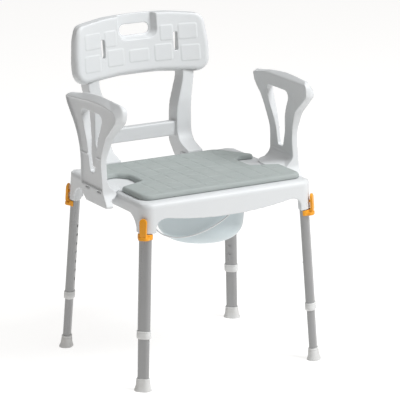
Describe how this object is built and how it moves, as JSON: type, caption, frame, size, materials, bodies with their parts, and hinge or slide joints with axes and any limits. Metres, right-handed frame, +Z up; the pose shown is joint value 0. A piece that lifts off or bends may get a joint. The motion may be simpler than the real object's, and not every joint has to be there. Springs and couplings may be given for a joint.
{
  "type": "shower and commode chair",
  "caption": "Shower and commode chair: moulded seat with foam pad, curved backrest, two armrests, a pan with a wire handle on rails, and clip-in telescoping oval legs.",
  "frame": {"origin": "middle of the footprint box, on the floor", "axes": "+Z up, the sitter faces -Y, +X is to the right of a viewer in front of the chair"},
  "size_m": [0.602, 0.558, 0.888],
  "materials": {
    "white_plastic": "satin",
    "pad_foam": "matte",
    "orange_plastic": "satin",
    "collar_plastic": "satin",
    "tube_aluminium": "satin anodised",
    "steel": "plain",
    "handle_wire": "coated",
    "pan_plastic": "translucent",
    "foot_rubber": "matte"
  },
  "bodies": {
    "chair": {"seat_frame": "white_plastic", "pan_rail_left": "white_plastic", "rail_screw_left_front": "steel", "rail_screw_left_rear": "steel", "pan_rail_right": "white_plastic", "rail_screw_right_front": "steel", "rail_screw_right_rear": "steel", "leg_tube_upper_front_left": "tube_aluminium", "leg_collar_front_left": "collar_plastic", "leg_tube_upper_front_right": "tube_aluminium", "leg_collar_front_right": "collar_plastic", "leg_tube_upper_rear_left": "tube_aluminium", "leg_collar_rear_left": "collar_plastic", "leg_tube_upper_rear_right": "tube_aluminium", "leg_collar_rear_right": "collar_plastic"},
    "pad": {"seat_pad": "pad_foam"},
    "backrest": {"back_frame": "white_plastic", "back_panel": "white_plastic", "back_screw_left_lower": "steel", "back_screw_left_upper": "steel", "back_screw_right_lower": "steel", "back_screw_right_upper": "steel"},
    "arm_left": {"armrest_left": "white_plastic"},
    "arm_right": {"armrest_right": "white_plastic"},
    "pan": {"commode_pan": "pan_plastic"},
    "handle": {"pan_handle": "handle_wire"},
    "clip_front_left": {"leg_clip_front_left": "orange_plastic"},
    "leg_front_left": {"leg_tube_lower_front_left": "tube_aluminium", "leg_foot_front_left": "foot_rubber"},
    "button_front_left": {"height_button_front_left": "steel", "button_spring_front_left": "steel"},
    "clip_front_right": {"leg_clip_front_right": "orange_plastic"},
    "leg_front_right": {"leg_tube_lower_front_right": "tube_aluminium", "leg_foot_front_right": "foot_rubber"},
    "button_front_right": {"height_button_front_right": "steel", "button_spring_front_right": "steel"},
    "clip_rear_left": {"leg_clip_rear_left": "orange_plastic"},
    "leg_rear_left": {"leg_tube_lower_rear_left": "tube_aluminium", "leg_foot_rear_left": "foot_rubber"},
    "button_rear_left": {"height_button_rear_left": "steel", "button_spring_rear_left": "steel"},
    "clip_rear_right": {"leg_clip_rear_right": "orange_plastic"},
    "leg_rear_right": {"leg_tube_lower_rear_right": "tube_aluminium", "leg_foot_rear_right": "foot_rubber"},
    "button_rear_right": {"height_button_rear_right": "steel", "button_spring_rear_right": "steel"}
  },
  "joints": [
    {"name": "pad_lift", "type": "slide", "parent": "chair", "child": "pad", "axis": [0, 0, 1], "range_m": [0, 0.05]},
    {"name": "backrest_lift", "type": "slide", "parent": "chair", "child": "backrest", "axis": [0, 0, 1], "range_m": [0, 0.05]},
    {"name": "arm_left_lift", "type": "slide", "parent": "chair", "child": "arm_left", "axis": [0, 0, 1], "range_m": [0, 0.05]},
    {"name": "arm_right_lift", "type": "slide", "parent": "chair", "child": "arm_right", "axis": [0, 0, 1], "range_m": [0, 0.05]},
    {"name": "pan_slide", "type": "slide", "parent": "chair", "child": "pan", "axis": [0, 1, 0], "range_m": [0, 0.4]},
    {"name": "handle_swing", "type": "hinge", "parent": "pan", "child": "handle", "pos_m": [0, -0.0984, 0.449], "axis": [0.2419, -0.9703, 0], "range_deg": [-25, 30]},
    {"name": "leg_height_front_left", "type": "slide", "parent": "chair", "child": "leg_front_left", "axis": [-0.0523, -0.0523, -0.9973], "range_m": [-0.075, 0.075]},
    {"name": "button_press_front_left", "type": "slide", "parent": "leg_front_left", "child": "button_front_left", "axis": [-0.7052, -0.7052, 0.0739], "range_m": [0, 0.0035], "stiffness_N_per_m": 1500, "springref_m": -0.002},
    {"name": "clip_pull_front_left", "type": "slide", "parent": "chair", "child": "clip_front_left", "axis": [-0.7052, -0.7052, 0.0739], "range_m": [0, 0.03]},
    {"name": "leg_height_front_right", "type": "slide", "parent": "chair", "child": "leg_front_right", "axis": [0.0523, -0.0523, -0.9973], "range_m": [-0.075, 0.075]},
    {"name": "button_press_front_right", "type": "slide", "parent": "leg_front_right", "child": "button_front_right", "axis": [0.7052, -0.7052, 0.0739], "range_m": [0, 0.0035], "stiffness_N_per_m": 1500, "springref_m": -0.002},
    {"name": "clip_pull_front_right", "type": "slide", "parent": "chair", "child": "clip_front_right", "axis": [0.7052, -0.7052, 0.0739], "range_m": [0, 0.03]},
    {"name": "leg_height_rear_left", "type": "slide", "parent": "chair", "child": "leg_rear_left", "axis": [-0.0523, 0.0523, -0.9973], "range_m": [-0.075, 0.075]},
    {"name": "button_press_rear_left", "type": "slide", "parent": "leg_rear_left", "child": "button_rear_left", "axis": [-0.7052, 0.7052, 0.0739], "range_m": [0, 0.0035], "stiffness_N_per_m": 1500, "springref_m": -0.002},
    {"name": "clip_pull_rear_left", "type": "slide", "parent": "chair", "child": "clip_rear_left", "axis": [-0.7052, 0.7052, 0.0739], "range_m": [0, 0.03]},
    {"name": "leg_height_rear_right", "type": "slide", "parent": "chair", "child": "leg_rear_right", "axis": [0.0523, 0.0523, -0.9973], "range_m": [-0.075, 0.075]},
    {"name": "button_press_rear_right", "type": "slide", "parent": "leg_rear_right", "child": "button_rear_right", "axis": [0.7052, 0.7052, 0.0739], "range_m": [0, 0.0035], "stiffness_N_per_m": 1500, "springref_m": -0.002},
    {"name": "clip_pull_rear_right", "type": "slide", "parent": "chair", "child": "clip_rear_right", "axis": [0.7052, 0.7052, 0.0739], "range_m": [0, 0.03]}
  ]
}
